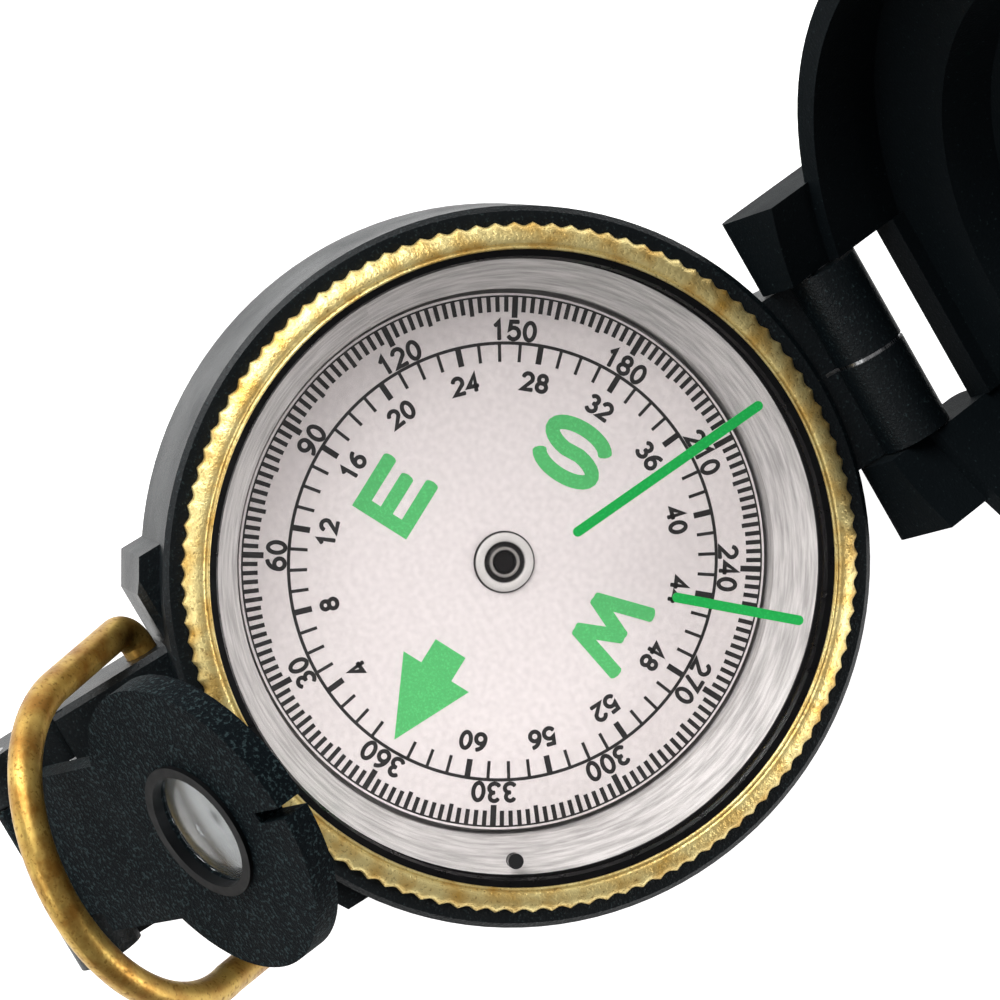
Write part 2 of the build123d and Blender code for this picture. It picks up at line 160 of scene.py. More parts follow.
def moulded_part(name, colour, rough, level=0.5):
    """Moulded nylon, rubber or gloss black, and the cut jewel: one even colour with a slightly
    mottled sheen, soft on the rubber and tight on the gloss."""
    material, tree, shader = new_finish(name, IOR=1.53, Specular_IOR_Level=level)
    mottle = add(tree, "ShaderNodeTexNoise", {"Vector": object_place(tree), "Scale": per(1.2),
                                              "Detail": 3.0}).outputs["Fac"]
    lighter = [min(1.0, c * 1.25) for c in colour]
    tree.links.new(shade(tree, mottle, colour, lighter), shader.inputs["Base Color"])
    tree.links.new(spread(tree, mottle, rough - 0.05, rough + 0.08), shader.inputs["Roughness"])
    bump = add(tree, "ShaderNodeBump", {"Height": mottle, "Distance": 0.01 * MM, "Strength": 0.6})
    tree.links.new(bump.outputs["Normal"], shader.inputs["Normal"])
    return material


def blasted_aluminium(colours):
    """Aluminium left from the lathe and bead-blasted: fine rings round the axis that draw highlights
    out sideways. Its low metallic share stands for the blasted skin, which scatters light as paint does."""
    material, tree, shader = new_finish("bead_blasted_aluminium", Metallic=0.15)
    rings = add(tree, "ShaderNodeTexNoise", {"Vector": lathe_place(tree, 0.35), "Scale": 1.0,
                                             "Detail": 3.0, "Roughness": 0.6}).outputs["Fac"]
    tree.links.new(shade(tree, rings, colours.capsule_shade, colours.capsule), shader.inputs["Base Color"])
    tree.links.new(spread(tree, rings, 0.4, 0.55), shader.inputs["Roughness"])
    bump = add(tree, "ShaderNodeBump", {"Height": rings, "Distance": 0.004 * MM, "Strength": 0.8})
    tree.links.new(bump.outputs["Normal"], shader.inputs["Normal"])
    return material


def drawn_steel(name, dark, light, rough):
    """Drawn, pressed or ground steel: lines along X, the way its pins lie, and faint grey stains."""
    material, tree, shader = new_finish(name, Metallic=1.0)
    stretched = add(tree, "ShaderNodeMapping", {"Vector": object_place(tree),
                                                "Scale": (per(1.5), per(0.15), per(0.15))}).outputs[0]
    lines = add(tree, "ShaderNodeTexNoise", {"Vector": stretched, "Scale": 1.0,
                                             "Detail": 3.0}).outputs["Fac"]
    tree.links.new(shade(tree, lines, dark, light), shader.inputs["Base Color"])
    tree.links.new(spread(tree, lines, rough - 0.06, rough + 0.1), shader.inputs["Roughness"])
    return material


def knurled_brass(colours, pit_mm):
    """Cast and knurled brass: rubbed bright in broad patches, brown in its pits. It is a little
    less than fully metallic, so its yellow still shows where only the floor is mirrored."""
    material, tree, shader = new_finish("knurled_cast_brass", Metallic=0.72)
    place = object_place(tree)
    pits = add(tree, "ShaderNodeTexNoise", {"Vector": place, "Scale": per(pit_mm), "Detail": 2.0,
                                            "Roughness": 0.65}).outputs["Fac"]
    stain = add(tree, "ShaderNodeTexNoise", {"Vector": place, "Scale": per(2.2),
                                             "Detail": 3.0}).outputs["Fac"]
    body = shade(tree, stain, colours.brass_deep, colours.brass, 0.3, 0.6)
    dirt = add(tree, "ShaderNodeMapRange", {"Value": pits, "From Min": 0.28, "From Max": 0.44,
                                            "To Min": 0.7, "To Max": 0.0}).outputs["Result"]
    colour = add(tree, "ShaderNodeMix", {"Factor": dirt, 6: body, 7: rgba(colours.patina)},
                 data_type="RGBA").outputs[2]
    tree.links.new(colour, shader.inputs["Base Color"])
    tree.links.new(spread(tree, pits, 0.5, 0.3), shader.inputs["Roughness"])
    bump = add(tree, "ShaderNodeBump", {"Height": pits, "Distance": 0.06 * MM, "Strength": 1.0})
    tree.links.new(bump.outputs["Normal"], shader.inputs["Normal"])
    return material


def drawn_brass_wire(colours):
    """Drawn brass wire, tarnished by hands: orange-brown stains and specks over dull gold."""
    material, tree, shader = new_finish("drawn_brass_wire", Metallic=0.8)
    place = object_place(tree)
    stain = add(tree, "ShaderNodeTexNoise", {"Vector": place, "Scale": per(2.6), "Detail": 5.0,
                                             "Roughness": 0.6}).outputs["Fac"]
    specks = add(tree, "ShaderNodeTexNoise", {"Vector": place, "Scale": per(0.32),
                                              "Detail": 2.0}).outputs["Fac"]
    body = shade(tree, stain, colours.loop_stain, colours.loop, 0.36, 0.6)
    dirt = add(tree, "ShaderNodeMapRange", {"Value": specks, "From Min": 0.32, "From Max": 0.42,
                                            "To Min": 0.7, "To Max": 0.0}).outputs["Result"]
    colour = add(tree, "ShaderNodeMix", {"Factor": dirt, 6: body, 7: rgba(colours.patina)},
                 data_type="RGBA").outputs[2]
    tree.links.new(colour, shader.inputs["Base Color"])
    tree.links.new(spread(tree, specks, 0.52, 0.3), shader.inputs["Roughness"])
    bump = add(tree, "ShaderNodeBump", {"Height": specks, "Distance": 0.02 * MM, "Strength": 0.8})
    tree.links.new(bump.outputs["Normal"], shader.inputs["Normal"])
    return material


def sprayed_enamel_dial(colours):
    """White enamel sprayed on the thin metal dial: nearly flat, with the faintest orange peel."""
    material, tree, shader = new_finish("sprayed_dial_enamel", IOR=1.5)
    peel = add(tree, "ShaderNodeTexNoise", {"Vector": object_place(tree), "Scale": per(0.5),
                                            "Detail": 3.0}).outputs["Fac"]
    tree.links.new(shade(tree, peel, colours.dial_shade, colours.dial), shader.inputs["Base Color"])
    tree.links.new(spread(tree, peel, 0.42, 0.55), shader.inputs["Roughness"])
    bump = add(tree, "ShaderNodeBump", {"Height": peel, "Distance": 0.006 * MM, "Strength": 0.5})
    tree.links.new(bump.outputs["Normal"], shader.inputs["Normal"])
    return material


def printing_ink(name, colour, rough=0.5):
    """Screen-printed ink: solid colour that breaks up a little where the mesh left it thin."""
    material, tree, shader = new_finish(name, IOR=1.48)
    mesh = add(tree, "ShaderNodeTexNoise", {"Vector": object_place(tree), "Scale": per(0.16),
                                            "Detail": 2.0}).outputs["Fac"]
    lighter = [min(1.0, c * 1.35 + 0.01) for c in colour]
    tree.links.new(shade(tree, mesh, colour, lighter, 0.5, 0.75), shader.inputs["Base Color"])
    tree.links.new(spread(tree, mesh, rough - 0.08, rough + 0.08), shader.inputs["Roughness"])
    return material


def grooved_hub(colours):
    """Turned and nickelled hub: bright lands, with black painted in the groove, at the hole's edge and round
    the rim as painted shade.
    """
    span_mm = 2.5
    material, tree, shader = new_finish("turned_nickel_hub")
    place = add(tree, "ShaderNodeSeparateXYZ", {0: object_place(tree)})
    flat = add(tree, "ShaderNodeCombineXYZ", {"X": place.outputs[0], "Y": place.outputs[1]}).outputs[0]
    radius = add(tree, "ShaderNodeVectorMath", {0: flat}, operation="LENGTH").outputs["Value"]
    share = add(tree, "ShaderNodeMath", {0: radius, 1: per(span_mm)}, operation="MULTIPLY").outputs[0]
    lands = add(tree, "ShaderNodeValToRGB", {"Fac": share})
    lacquer, dull, bright = rgba(colours.lacquer), rgba(colours.nickel_dull), rgba(colours.nickel)
    # From the middle out, as shares of the span: hole, dull land, groove, bright land, rim. The black at the
    # hole's edge, in the groove and round the rim is painted shade.
    bands = ((0.36, lacquer), (0.39, dull), (0.46, dull), (0.49, lacquer), (0.62, lacquer),
             (0.66, bright), (0.9, bright), (0.925, lacquer))
    stops = lands.color_ramp.elements
    for stop, (at, tone) in zip(stops, bands):
        stop.position = at
        stop.color = tone
    for at, tone in bands[len(stops):]:
        stops.new(at).color = tone
    worn = add(tree, "ShaderNodeTexNoise", {"Vector": object_place(tree),
                                            "Scale": per(0.12)}).outputs["Fac"]
    tree.links.new(lands.outputs["Color"], shader.inputs["Base Color"])
    tree.links.new(spread(tree, worn, 0.25, 0.45), shader.inputs["Roughness"])
    return material


def clear_disc(name, tint, ior, rough=0.0):
    """Clear pressed disc. Lamps reach through it, so what lies below stays bright, and the
    surface only adds a mirror of the room, which is fainter the lower the IOR."""
    material, tree, shader = new_finish(name, IOR=ior, Transmission_Weight=1.0, Roughness=rough)
    shader.inputs["Base Color"].default_value = rgba(tint)
    rays = add(tree, "ShaderNodeLightPath").outputs["Is Shadow Ray"]
    through = add(tree, "ShaderNodeBsdfTransparent", {"Color": rgba(tint)}).outputs[0]
    mixed = add(tree, "ShaderNodeMixShader", {0: rays, 1: shader.outputs[0], 2: through}).outputs[0]
    tree.links.new(mixed, tree.nodes["Material Output"].inputs["Surface"])
    return material


# ---- meshes -----------------------------------------------------------------------------
def new_piece(name, mesh_data, material, body):
    piece = bpy.data.objects.new(name, mesh_data)
    bpy.context.scene.collection.objects.link(piece)
    mesh_data.materials.clear()
    mesh_data.materials.append(material)
    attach(piece, body)
    return piece


def finish_node(names, material):
    """Gives CAD nodes a better material in their own slots."""
    for name in names:
        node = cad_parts[name]
        for slot in node.material_slots:
            slot.material = material


def on_dial(bearing, radius, x, y, height):
    """A point of print: x runs clockwise and y outward from a place on the dial."""
    angle = math.radians(bearing)
    outward = Vector((math.cos(angle), math.sin(angle), 0))
    clockwise = Vector((math.sin(angle), -math.cos(angle), 0))
    return outward * (radius + y) + clockwise * x + Vector((0, 0, height))


def arc(cx, cy, rx, ry, start, end, steps=16):
    turns = [math.radians(start + (end - start) * i / steps) for i in range(steps + 1)]
    return [(cx + rx * math.cos(t), cy + ry * math.sin(t)) for t in turns]


# One engraver's pen stroke after another, each figure 0.6 wide and 1 high.
FIGURES = {
    "0": [arc(0.3, 0.5, 0.3, 0.5, 0, 360, 28)],
    "1": [[(0.14, 0.78), (0.36, 1), (0.36, 0)]],
    "2": [arc(0.3, 0.7, 0.3, 0.3, 165, -32) + [(0, 0), (0.62, 0)]],
    "3": [arc(0.29, 0.755, 0.26, 0.245, 150, -90), arc(0.29, 0.265, 0.31, 0.265, 90, -150)],
    "4": [[(0.46, 0), (0.46, 1), (0, 0.3), (0.62, 0.3)]],
    "5": [[(0.56, 1), (0.12, 1)] + arc(0.28, 0.33, 0.33, 0.33, 130, -150)],
    "6": [arc(0.3, 0.3, 0.3, 0.3, 0, 360, 24), arc(0.56, 0.3, 0.56, 0.7, 180, 95, 10)],
    "7": [[(0, 1), (0.6, 1), (0.2, 0)]],
    "8": [arc(0.3, 0.755, 0.25, 0.245, 0, 360, 24), arc(0.3, 0.265, 0.3, 0.265, 0, 360, 24)],
    "9": [arc(0.3, 0.7, 0.3, 0.3, 0, 360, 24), arc(0.04, 0.7, 0.56, 0.7, 0, -85, 10)],
}
# Each letter's first stroke starts at its right edge, which gives its drawn width.
LETTERS = {
    "E": [[(0.72, 1), (0, 1), (0, 0), (0.72, 0)], [(0, 0.5), (0.62, 0.5)]],
    "S": [arc(0.36, 0.74, 0.36, 0.26, 12, 255, 18) + arc(0.36, 0.26, 0.36, 0.26, 75, -168, 18)],
    "W": [[(1, 1), (0.76, 0)], [(0.76, 0), (0.5, 0.74)], [(0.5, 0.74), (0.24, 0)], [(0.24, 0), (0, 1)]],
}
LETTER_TURNS = {"E": 90, "S": 180, "W": 270}
LETTER_SIZES_MM = {"E": (4.05, 3.9), "S": (4.7, 4.0), "W": (5.3, 4.4)}
# The north arrow, x clockwise and y outward from the dial's middle, in millimetres.
NORTH_ARROW = [(0, 16.1), (3.05, 9.95), (1.4, 9.95), (1.4, 7.85), (-1.4, 7.85), (-1.4, 9.95), (-3.05, 9.95)]


def pen_stroke(bm, points, width, place):
    """Draws a line of even width with blunt, slightly rounded ends, as a flat face strip."""
    closed = math.dist(points[0], points[-1]) < 1e-6
    track = [Vector(p) for p in (points[:-1] if closed else points)]
    count = len(track)
    half = width / 2
    left, right = [], []
    for i, here in enumerate(track):
        before = track[i - 1] if i or closed else here
        after = track[(i + 1) % count] if i < count - 1 or closed else here
        came = (here - before).normalized() if before != here else (after - here).normalized()
        goes = (after - here).normalized() if after != here else came
        side = Vector((-(came + goes).y, (came + goes).x)).normalized()
        mitre = half / max(0.45, side.dot(Vector((-came.y, came.x))))
        left.append(bm.verts.new(place(*(here + side * mitre))))
        right.append(bm.verts.new(place(*(here - side * mitre))))
    for i in range(count if closed else count - 1):
        j = (i + 1) % count
        bm.faces.new((right[i], right[j], left[j], left[i]))
    if not closed:
        for end, other, edge in ((0, 1, (left[0], right[0])), (-1, -2, (right[-1], left[-1]))):
            out = (track[end] - track[other]).normalized()
            side = Vector((-out.y, out.x))
            cap = []
            for turn in (70, 40, 0, -40, -70):
                t = math.radians(turn)
                reach = out * 0.5 * math.cos(t) + side * math.sin(t)
                cap.append(bm.verts.new(place(*(track[end] + reach * half))))
            bm.faces.new((edge[0], *reversed(cap), edge[1]))


def bar(bm, bearing, inner, outer, width, height):
    corners = ((-width / 2, inner), (width / 2, inner), (width / 2, outer), (-width / 2, outer))
    bm.faces.new([bm.verts.new(on_dial(bearing, 0, x, y, height)) for x, y in corners])


def hoop(bm, radius, width, height, steps=240):
    rings = [[bm.verts.new(on_dial(360 * i / steps, r, 0, 0, height)) for i in range(steps)]
             for r in (radius - width / 2, radius + width / 2)]
    for i in range(steps):
        j = (i + 1) % steps
        bm.faces.new((rings[0][i], rings[1][i], rings[1][j], rings[0][j]))


def figures(bm, text, bearing, radius, size, pen, height):
    """Prints a number on the dial, its top outward, reading clockwise."""
    pitch = size * 0.93
    for i, figure in enumerate(text):
        here = bearing - math.degrees((i - (len(text) - 1) / 2) * pitch / radius)
        for layer, stroke in enumerate(FIGURES[figure]):
            level = height + layer * PRINT_LAYER
            points = [((x - 0.3) * size, (y - 0.5) * size) for x, y in stroke]
            pen_stroke(bm, points, pen, lambda x, y: on_dial(here, radius, x, y, level))


def mesh_from(bm, name):
    bmesh.ops.recalc_face_normals(bm, faces=bm.faces)
    for face in bm.faces:
        if face.normal.z < 0:
            face.normal_flip()
    data = bpy.data.meshes.new(name)
    bm.to_mesh(data)
    bm.free()
    return data


def lathe(name, profile, steps, shape=None):
    """Turns a closed profile of (radius, height) in millimetres about Z; shape may move each point."""
    bm = bmesh.new()
    rings = []
    for i in range(steps):
        angle = 2 * math.pi * i / steps
        ring = []
        for k, (radius, height) in enumerate(profile):
            if shape:
                radius, height = shape(k, radius, height, angle)
            x, y = radius * MM * math.cos(angle), radius * MM * math.sin(angle)
            ring.append(bm.verts.new((x, y, height * MM)))
        rings.append(ring)
    count = len(profile)
    for i in range(steps):
        here, following = rings[i], rings[(i + 1) % steps]
        for k in range(count):
            m = (k + 1) % count
            bm.faces.new((here[k], following[k], following[m], here[m]))
    bmesh.ops.recalc_face_normals(bm, faces=bm.faces)
    data = bpy.data.meshes.new(name)
    bm.to_mesh(data)
    bm.free()
    data.shade_smooth()
    return data


# ---- settings ---------------------------------------------------------------------------
def length(name, description, millimetres):
    return FloatProperty(name=name, description=description, default=millimetres * MM, subtype="DISTANCE",
                         unit="LENGTH", precision=5)


def colour(name, description, value):
    return FloatVectorProperty(name=name, description=description, default=linear(value), subtype="COLOR",
                               size=3, min=0.0, max=1.0)


class CompassSizes(bpy.types.PropertyGroup):
    """Sizes of the printed and worked detail."""
    north: FloatProperty(name="North", description="Direction of the dial's north on the case",
                         default=math.radians(297.0), subtype="ANGLE", unit="ROTATION")
    degree_ring: length("Degree scale", "Radius of the outer ends of the degree marks", 20.45)
    degree_mark: length("Degree mark", "Length of the marks every two degrees", 1.15)
    ten_mark: length("Ten-degree mark", "Length of the marks every ten degrees", 1.35)
    heavy_mark: length("Heavy mark", "Length of the marks every thirty degrees", 1.6)
    mark_width: length("Mark width", "Width of an ordinary mark", 0.34)
    heavy_width: length("Heavy mark width", "Width of the heavy marks", 0.46)
    inner_ring: length("Inner scale", "Radius of the inner scale's line", 16.9)
    inner_mark: length("Inner mark", "Length of the inner scale's marks", 1.45)
    degree_figures: length("Degree figures", "Radius of the middle of the degree figures", 17.87)
    inner_figures: length("Inner figures", "Radius of the middle of the inner figures", 14.05)
    figure_size: length("Figure height", "Height of the printed figures", 1.35)
    pen: length("Pen", "Stroke width of the figures", 0.33)
    letters: length("Letters", "Radius of the middle of the compass letters", 10.0)
    letter_pen: length("Letter pen", "Stroke width of the compass letters", 1.12)
    tooth_count: IntProperty(name="Teeth", description="Serrations round the bezel", default=112, min=24)
    pit: length("Brass pits", "Size of the pits in the bezel's knurled band", 0.28)
    grain: length("Crinkle grain", "Size of the pebbles in the castings' enamel", 0.22)
    bracket_grain: length("Bracket grain", "Size of the pebbles on the eyepiece bracket", 0.3)


class CompassColours(bpy.types.PropertyGroup):
    """Colours of the finishes."""
    enamel: colour("Enamel", "Black enamel with a green cast", 0x080E11)
    # Paler colour of the high pebbles: a painted highlight for the crinkle's glints, not wear.
    enamel_worn: colour("Enamel glint", "Enamel on the high spots of the crinkle", 0x283436)
    brass: colour("Brass", "Rubbed brass of the bezel", 0xEFDB96)
    brass_deep: colour("Deep brass", "Brass dulled to orange", 0xD2A650)
    patina: colour("Patina", "Brown in the brass's hollows", 0x74551F)
    loop: colour("Loop", "Dull gold of the wire loop", 0xBC9D52)
    loop_stain: colour("Loop stain", "Orange-brown stains on the loop", 0x916728)
    dial: colour("Dial", "White of the dial", 0xF1ECEB)
    dial_shade: colour("Dial shade", "The white in its faint hollows", 0xE6E1E0)
    ink: colour("Ink", "Black print", 0x131313)
    green: colour("Luminous green", "Pale luminous green of letters and arrow", 0x52C06E)
    line_green: colour("Line green", "Deeper green of the two lines on the crystal", 0x08B04C)
    capsule: colour("Capsule", "Bright wall round the dial", 0xD8D7D5)
    capsule_shade: colour("Capsule shade", "Darker rings in the capsule's wall", 0xA9A8A6)
    steel: colour("Steel", "Pins and screws", 0xB9BBBD)
    steel_dark: colour("Dark steel", "Stained steel", 0x77797C)
    steel_bright: colour("Bright steel", "Washer in the cover's hinge", 0xE4E5E6)
    spring: colour("Spring", "Blued steel of screws, plugs and snap ring", 0x5A5D63)
    spring_dark: colour("Dark spring", "Darker lines in the blued steel", 0x2B2D31)
    nickel: colour("Nickel", "Bright land of the hub", 0xD9D8D5)
    nickel_dull: colour("Dull nickel", "Land inside the hub's groove", 0x8F8D89)
    # Black painted into the hub's groove, hole edge and rim edge: painted shade.
    lacquer: colour("Lacquer", "Black in the hub's grooves", 0x0B0B0B)
    jewel: colour("Jewel", "Dark cut jewel", 0x0A0808)
    nylon: colour("Nylon", "Black nylon of the base plate", 0x1A1B1D)
    washer: colour("Washer", "White nylon under the bezel", 0xD5D4CE)
    rubber: colour("Rubber", "Black rubber of the seal and the plug", 0x08080A)
    gloss: colour("Gloss black", "Ring that holds the crystal", 0x040405)
    lens_ring: colour("Lens ring", "Ring that holds the lens", 0x040506)
    disc: colour("Clear discs", "Tint of the capsule's glass and the crystal", 0xFAF9F9)
    lens: colour("Lens", "Tint of the lens", 0xD4D9DB)
    room: colour("Room", "Light of the room round the object", 0xFFFDFE)
    floor: colour("Floor", "Pale floor", 0xF6F6F5)


# ---- operators --------------------------------------------------------------------------
class COMPASS_OT_castings(bpy.types.Operator):
    """Stoves crinkle enamel on the case, cover and eyepiece bracket"""
    bl_idname = "compass.castings"
    bl_label = "Enamel the Castings"

    def execute(self, context):
        sizes, colours = context.scene.compass_sizes, context.scene.compass_colours
        grain, coarse = sizes.grain / MM, sizes.bracket_grain / MM
        # Each row: node, finish, pebble size and depth in mm, roughness, specular level, and the pebble
        # height where the painted highlight starts.
        for node, name, size, depth, rough, level, glint_from in (
                ("case_body", "die_cast_case_enamel", grain, 0.06, 0.34, 0.22, 0.6),
                ("cover_shell", "die_cast_cover_enamel", grain, 0.05, 0.62, 0.08, 0.66),
                ("eyepiece_bracket", "die_cast_bracket_enamel", coarse, 0.14, 0.6, 0.03, 0.54)):
            finish_node([node], crinkle_enamel(name, colours, size, depth, rough, level, glint_from))
        finish_node(["base_plate"], moulded_part("moulded_black_nylon", colours.nylon, 0.5))
        return {"FINISHED"}


class COMPASS_OT_fittings(bpy.types.Operator):
    """Finishes the pins, screws, springs and seals"""
    bl_idname = "compass.fittings"
    bl_label = "Finish the Fittings"

    def execute(self, context):
        colours = context.scene.compass_colours
        dark, light = colours.steel_dark, colours.steel
        finish_node(["cover_hinge_pin", "eyepiece_pin", "sight_wire"],
                    drawn_steel("drawn_steel_rod", dark, light, 0.35))
        finish_node(["hinge_washer"], drawn_steel("pressed_bright_steel", light, colours.steel_bright, 0.25))
        finish_node(["base_screws", "sight_wire_plugs", "bezel_snap_ring"],
                    drawn_steel("blued_spring_steel", colours.spring_dark, colours.spring, 0.38))
        finish_node(["bezel_washer"], moulded_part("moulded_white_nylon", colours.washer, 0.5))
        finish_node(["capsule_gasket", "filler_plug"],
                    moulded_part("moulded_black_rubber", colours.rubber, 0.6, 0.2))
        return {"FINISHED"}


class COMPASS_OT_capsule(bpy.types.Operator):
    """Finishes the liquid capsule, its pivot and its clear discs"""
    bl_idname = "compass.capsule"
    bl_label = "Finish the Capsule"

    def execute(self, context):
        colours = context.scene.compass_colours
        finish_node(["capsule_bowl"], blasted_aluminium(colours))
        finish_node(["pivot_post", "dial_magnet"],
                    drawn_steel("ground_magnet_steel", colours.steel_dark, colours.steel, 0.3))
        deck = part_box("dial_card")[1].z / MM
        # Radius and height over the dial: the rim, the outer land, a groove, the inner land, the hole.
        outline = [(0.75, -0.2), (2.3, -0.2), (2.42, 0.02), (2.4, 0.12), (2.3, 0.2), (2.22, 0.32),
                   (1.75, 0.42), (1.62, 0.3), (1.5, 0.02), (1.24, 0.02), (1.18, 0.3), (1.0, 0.34),
                   (0.92, 0.2), (0.86, -0.1)]
        cap = lathe("hub_turned_cap", [(radius, deck + height) for radius, height in outline], 96)
        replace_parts(new_piece("hub_turned_cap", cap, grooved_hub(colours), "dial"), "dial_hub")
        finish_node(["pivot_jewel"], moulded_part("cut_dark_jewel", colours.jewel, 0.08))
        finish_node(["capsule_glass"], clear_disc("clear_float_glass", colours.disc, 1.3))
        finish_node(["bezel_crystal"], clear_disc("clear_cast_acrylic", colours.disc, 1.3))
        finish_node(["crystal_retainer"], moulded_part("moulded_gloss_black", colours.gloss, 0.3, 0.2))
        finish_node(["luminous_line_long", "luminous_line_short"],
                    printing_ink("luminous_line_paint", colours.line_green, 0.55))
        return {"FINISHED"}


class COMPASS_OT_dial(bpy.types.Operator):
    """Prints both scales, the figures, the letters and the north arrow on the dial"""
    bl_idname = "compass.dial"
    bl_label = "Print the Dial"

    def execute(self, context):
        sizes, colours = context.scene.compass_sizes, context.scene.compass_colours
        finish_node(["dial_card"], sprayed_enamel_dial(colours))
        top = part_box("dial_card")[1].z + PRINT_LIFT
        north = math.degrees(sizes.north)
        bm = bmesh.new()
        outer = sizes.degree_ring
        hoop(bm, outer + 0.06 * MM, 0.14 * MM, top)
        for degree in range(2, 361, 2):
            if degree % 30 == 0:
                reach, width = sizes.heavy_mark, sizes.heavy_width
            elif degree % 10 == 0:
                reach, width = sizes.ten_mark, sizes.mark_width
            else:
                reach, width = sizes.degree_mark, sizes.mark_width
            bar(bm, north - degree, outer - reach, outer, width, top + PRINT_LAYER)
        for degree in range(30, 361, 30):
            figures(bm, str(degree), north - degree, sizes.degree_figures, sizes.figure_size, sizes.pen, top)
        inner = sizes.inner_ring
        hoop(bm, inner, sizes.mark_width * 0.75, top)
        parts = 64
        for step in range(1, parts):
            bearing = north - step * 360 / parts
            heavy = step % 4 == 0
            width = sizes.heavy_width if heavy else sizes.mark_width * 0.75
            bar(bm, bearing, inner - sizes.inner_mark, inner, width, top + PRINT_LAYER)
            if heavy:
                figures(bm, str(step), bearing, sizes.inner_figures, sizes.figure_size * 0.92, sizes.pen, top)
        ink = printing_ink("screen_printed_black_ink", colours.ink)
        new_piece("dial_print", mesh_from(bm, "dial_print"), ink, "dial")

        bm = bmesh.new()
        corners = [on_dial(north, 0, x * MM, y * MM, top + 2 * PRINT_LAYER) for x, y in NORTH_ARROW]
        bm.faces.new([bm.verts.new(corner) for corner in corners])
        for letter, strokes in LETTERS.items():
            wide, tall = LETTER_SIZES_MM[letter]
            drawn_width = strokes[0][0][0]
            bearing = north - LETTER_TURNS[letter]
            for layer, stroke in enumerate(strokes):
                points = [((x / drawn_width - 0.5) * wide * MM, (y - 0.5) * tall * MM) for x, y in stroke]
                level = top + (layer + 1) * PRINT_LAYER
                pen_stroke(bm, points, sizes.letter_pen,
                           lambda x, y: on_dial(bearing, sizes.letters, x, y, level))
        green = printing_ink("screen_printed_luminous_green", colours.green)
        new_piece("dial_luminous_marks", mesh_from(bm, "dial_luminous_marks"), green,
                  "dial")
        return {"FINISHED"}


class COMPASS_OT_bezel(bpy.types.Operator):
    """Turns and knurls the brass bezel"""
    bl_idname = "compass.bezel"
    bl_label = "Knurl the Bezel"

    def execute(self, context):
        sizes, colours = context.scene.compass_sizes, context.scene.compass_colours
        count = sizes.tooth_count
        # Radius and height: up the skirt, out to the teeth, over the dome to the fine groove and
        # bead inside it, then down the bore and round the seat of the crystal.
        profile = [(24.85, 9.8), (25.6, 9.8), (25.6, 11.45), (25.9, 11.97), (26.08, 12.06), (26.06, 12.4),
                   (25.94, 12.7), (25.72, 12.92), (25.4, 13.08), (25.1, 13.18), (24.85, 13.2), (24.7, 13.14),
                   (24.62, 13.0), (24.56, 13.1), (24.46, 13.22), (24.36, 13.2), (24.31, 13.08),
                   (24.3, 11.98), (23.8, 11.95), (23.8, 11.75), (24.85, 11.75)]
        tooth_reach = {3: 0.14, 4: 0.28, 5: 0.26, 6: 0.13, 7: 0.04}    # by point of the profile
        tooth_half = 0.4    # half of a tooth's width, as a share of the pitch
        dome = range(6, 12)
        pit_depth, pits_per_mm = 0.05, 2.7

        def knurl(k, radius, height, angle):
            """Triangular serrations on the flank that run out below the smooth, slightly pitted dome."""
            phase = (angle * count / (2 * math.pi) + 0.5) % 1 - 0.5
            crest = max(0.0, 1 - abs(phase) / tooth_half)
            spot = Vector((radius * math.cos(angle), radius * math.sin(angle), height))
            if k in dome:
                height -= pit_depth * abs(noise.noise(spot * pits_per_mm))
            return radius + tooth_reach.get(k, 0) * crest, height

        ring = lathe("bezel_knurled_ring", profile, count * 10, knurl)
        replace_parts(new_piece("bezel_knurled_ring", ring, knurled_brass(colours, sizes.pit / MM), "bezel"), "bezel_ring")
        return {"FINISHED"}


class COMPASS_OT_loop(bpy.types.Operator):
    """Tarnishes the brass wire thumb loop"""
    bl_idname = "compass.loop"
    bl_label = "Tarnish the Loop"

    def execute(self, context):
        colours = context.scene.compass_colours
        finish_node(["thumb_loop"], drawn_brass_wire(colours))
        return {"FINISHED"}


class COMPASS_OT_eyepiece(bpy.types.Operator):
    """Polishes the lens and its ring"""
    bl_idname = "compass.eyepiece"
    bl_label = "Polish the Lens"

    def execute(self, context):
        colours = context.scene.compass_colours
        finish_node(["eyepiece_lens"], clear_disc("polished_crown_glass", colours.lens, 1.52, 0.22))
        finish_node(["lens_retainer"], moulded_part("moulded_gloss_ring", colours.lens_ring, 0.5, 0.1))
        return {"FINISHED"}


# Name, place, side in metres and watts; every lamp points at the middle of the case's underside.
LAMPS = (("key_softbox", (-0.7, -0.12, 0.5), 0.55, 6.5),
         ("side_strip", (-0.8, -0.25, 0.14), 0.3, 2.8),
         ("fill_softbox", (0.5, 0.6, 0.42), 0.45, 4.6),
         ("back_strip", (-0.1, -0.75, 0.45), 0.4, 1.8))
ROOM_LIGHT = 0.2
FLOOR_GLOW = 0.8
# The camera looks down almost square to the dial, with the cover at the upper right. A point on
# the case's axis lies a little right of the middle of its view and below it, by these shares of
# the distance.
AIM_POINT = Vector((0, 0, 0.012))
TOWARDS_CAMERA = Vector((-0.16585, -0.15197, 0.97437))
FRAME_UP = Vector((-0.8616, 0.5075, 0))
AIM_RIGHT, AIM_DOWN = 0.003878, 0.011571
DISTANCE = 0.45


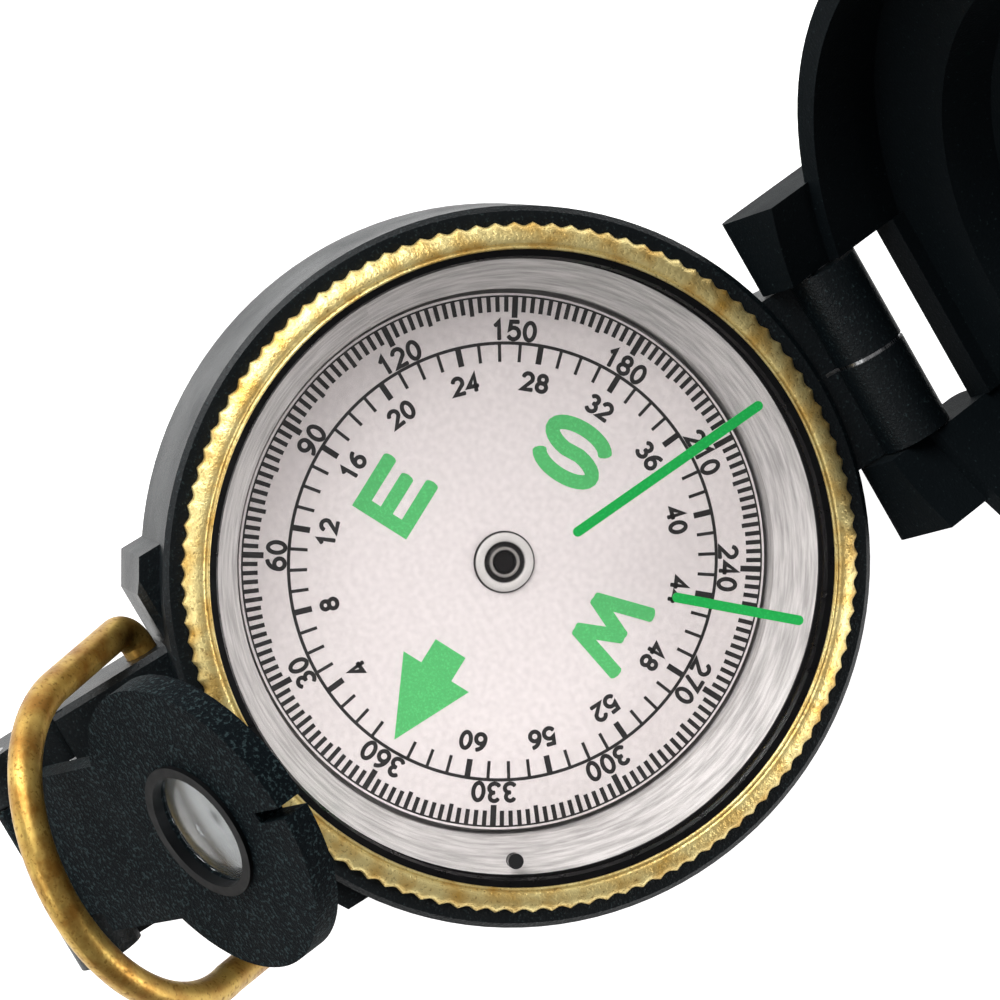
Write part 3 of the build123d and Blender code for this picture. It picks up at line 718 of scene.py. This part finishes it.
class COMPASS_OT_stage(bpy.types.Operator):
    """Lays the pale floor and sets the lamps and the camera"""
    bl_idname = "compass.stage"
    bl_label = "Set the Stage"

    def execute(self, context):
        scene, colours = context.scene, context.scene.compass_colours
        scene.view_settings.view_transform = "Standard"
        bm = bmesh.new()
        bmesh.ops.create_grid(bm, x_segments=8, y_segments=8, size=1.5)
        floor = bpy.data.objects.new("floor", mesh_from(bm, "floor"))
        scene.collection.objects.link(floor)
        paper, tree, shader = new_finish("matt_paper_sweep", Roughness=0.8)
        fibres = add(tree, "ShaderNodeTexNoise", {"Vector": object_place(tree),
                                                  "Scale": per(3.0)}).outputs["Fac"]
        tint = shade(tree, fibres, [c * 0.985 for c in colours.floor], colours.floor)
        tree.links.new(tint, shader.inputs["Base Color"])
        shader.inputs["Emission Color"].default_value = (1, 1, 1, 1)
        shader.inputs["Emission Strength"].default_value = FLOOR_GLOW
        floor.data.materials.append(paper)

        world = bpy.data.worlds.new("studio_room")
        world.use_nodes = True
        background = world.node_tree.nodes["Background"]
        background.inputs["Color"].default_value = rgba(colours.room)
        background.inputs["Strength"].default_value = ROOM_LIGHT
        scene.world = world

        for name, spot, size, watts in LAMPS:
            lamp = bpy.data.lights.new(name, "AREA")
            lamp.shape = "SQUARE"
            lamp.size = size
            lamp.energy = watts
            holder = bpy.data.objects.new(name, lamp)
            holder.location = spot
            holder.rotation_euler = (-Vector(spot)).to_track_quat("-Z", "Y").to_euler()
            scene.collection.objects.link(holder)

        back = TOWARDS_CAMERA.normalized()
        right = FRAME_UP.cross(back).normalized()
        up = back.cross(right)
        camera_data = bpy.data.cameras.new("camera")
        camera_data.sensor_width = 36.0
        camera_data.lens = 213.0
        camera_data.clip_start = 0.01
        camera = bpy.data.objects.new("camera", camera_data)
        aim = right * AIM_RIGHT - up * AIM_DOWN - back
        turn = Matrix((right, up, back)).transposed().to_4x4()
        camera.matrix_world = Matrix.Translation(AIM_POINT - aim * DISTANCE) @ turn
        scene.collection.objects.link(camera)
        scene.camera = camera
        return {"FINISHED"}


OPERATORS = (COMPASS_OT_castings, COMPASS_OT_fittings, COMPASS_OT_capsule, COMPASS_OT_dial, COMPASS_OT_bezel,
             COMPASS_OT_loop, COMPASS_OT_eyepiece, COMPASS_OT_stage)


class COMPASS_PT_sidebar(bpy.types.Panel):
    """Lists the compass's steps and its sizes and colours"""
    bl_idname = "COMPASS_PT_sidebar"
    bl_label = "Sighting Compass"
    bl_space_type = "VIEW_3D"
    bl_region_type = "UI"
    bl_category = "Compass"

    def draw(self, context):
        for operator in OPERATORS:
            self.layout.operator(operator.bl_idname)
        for group in (context.scene.compass_sizes, context.scene.compass_colours):
            box = self.layout.box()
            for key in group.__annotations__:
                box.prop(group, key)


CLASSES = (CompassSizes, CompassColours, *OPERATORS, COMPASS_PT_sidebar)


def register():
    for cls in CLASSES:
        bpy.utils.register_class(cls)
    bpy.types.Scene.compass_sizes = PointerProperty(type=CompassSizes)
    bpy.types.Scene.compass_colours = PointerProperty(type=CompassColours)


def unregister():
    del bpy.types.Scene.compass_colours
    del bpy.types.Scene.compass_sizes
    for cls in reversed(CLASSES):
        bpy.utils.unregister_class(cls)


def main():
    register()
    bpy.ops.compass.castings()
    bpy.ops.compass.fittings()
    bpy.ops.compass.capsule()
    bpy.ops.compass.dial()
    bpy.ops.compass.bezel()
    bpy.ops.compass.loop()
    bpy.ops.compass.eyepiece()
    bpy.ops.compass.stage()


if __name__ == "__main__":
    main()
